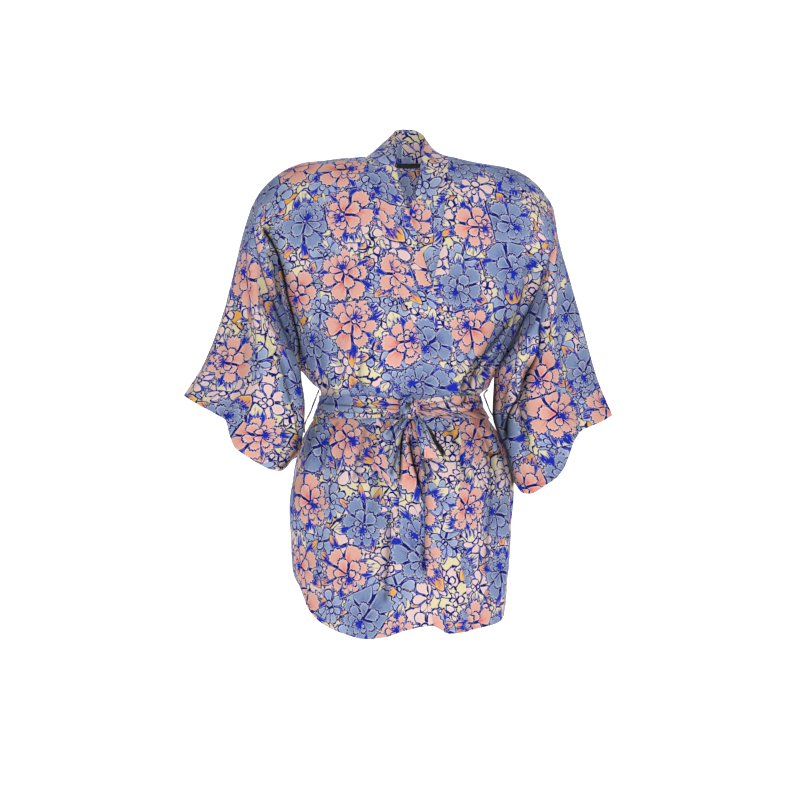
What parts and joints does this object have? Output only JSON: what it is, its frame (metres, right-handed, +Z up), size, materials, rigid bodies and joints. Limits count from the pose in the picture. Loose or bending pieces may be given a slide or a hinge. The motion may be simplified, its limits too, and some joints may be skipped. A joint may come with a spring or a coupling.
{
  "type": "short kimono robe",
  "caption": "Short worn kimono robe, hollow: wrapped fronts with a standing neck band, wide open sleeves and a waist belt tied in a bow.",
  "frame": {"origin": "on the shoulder line, level with the two neck points, where the wearer's shoulders carry the robe", "axes": "+Z up the body, -Y out of the front, +X towards the wearer's left"},
  "size_m": [0.7573, 0.2701, 0.898],
  "materials": {
    "print": "light crepe printed with large blue and coral flowers and blue outlines on a pale yellow ground, soft matt sheen",
    "label_black": "bare black woven tape"
  },
  "bodies": {
    "root": {"back": "print", "front_right": "print", "front_left": "print", "sleeve_right": "print", "sleeve_left": "print", "band_right": "print", "band_left": "print", "belt_waist": "print", "belt_knot": "print", "belt_loop": "print", "belt_tail_short": "print", "belt_tail_long": "print", "carrier_right": "print", "carrier_left": "print", "neck_label": "label_black"}
  },
  "joints": []
}
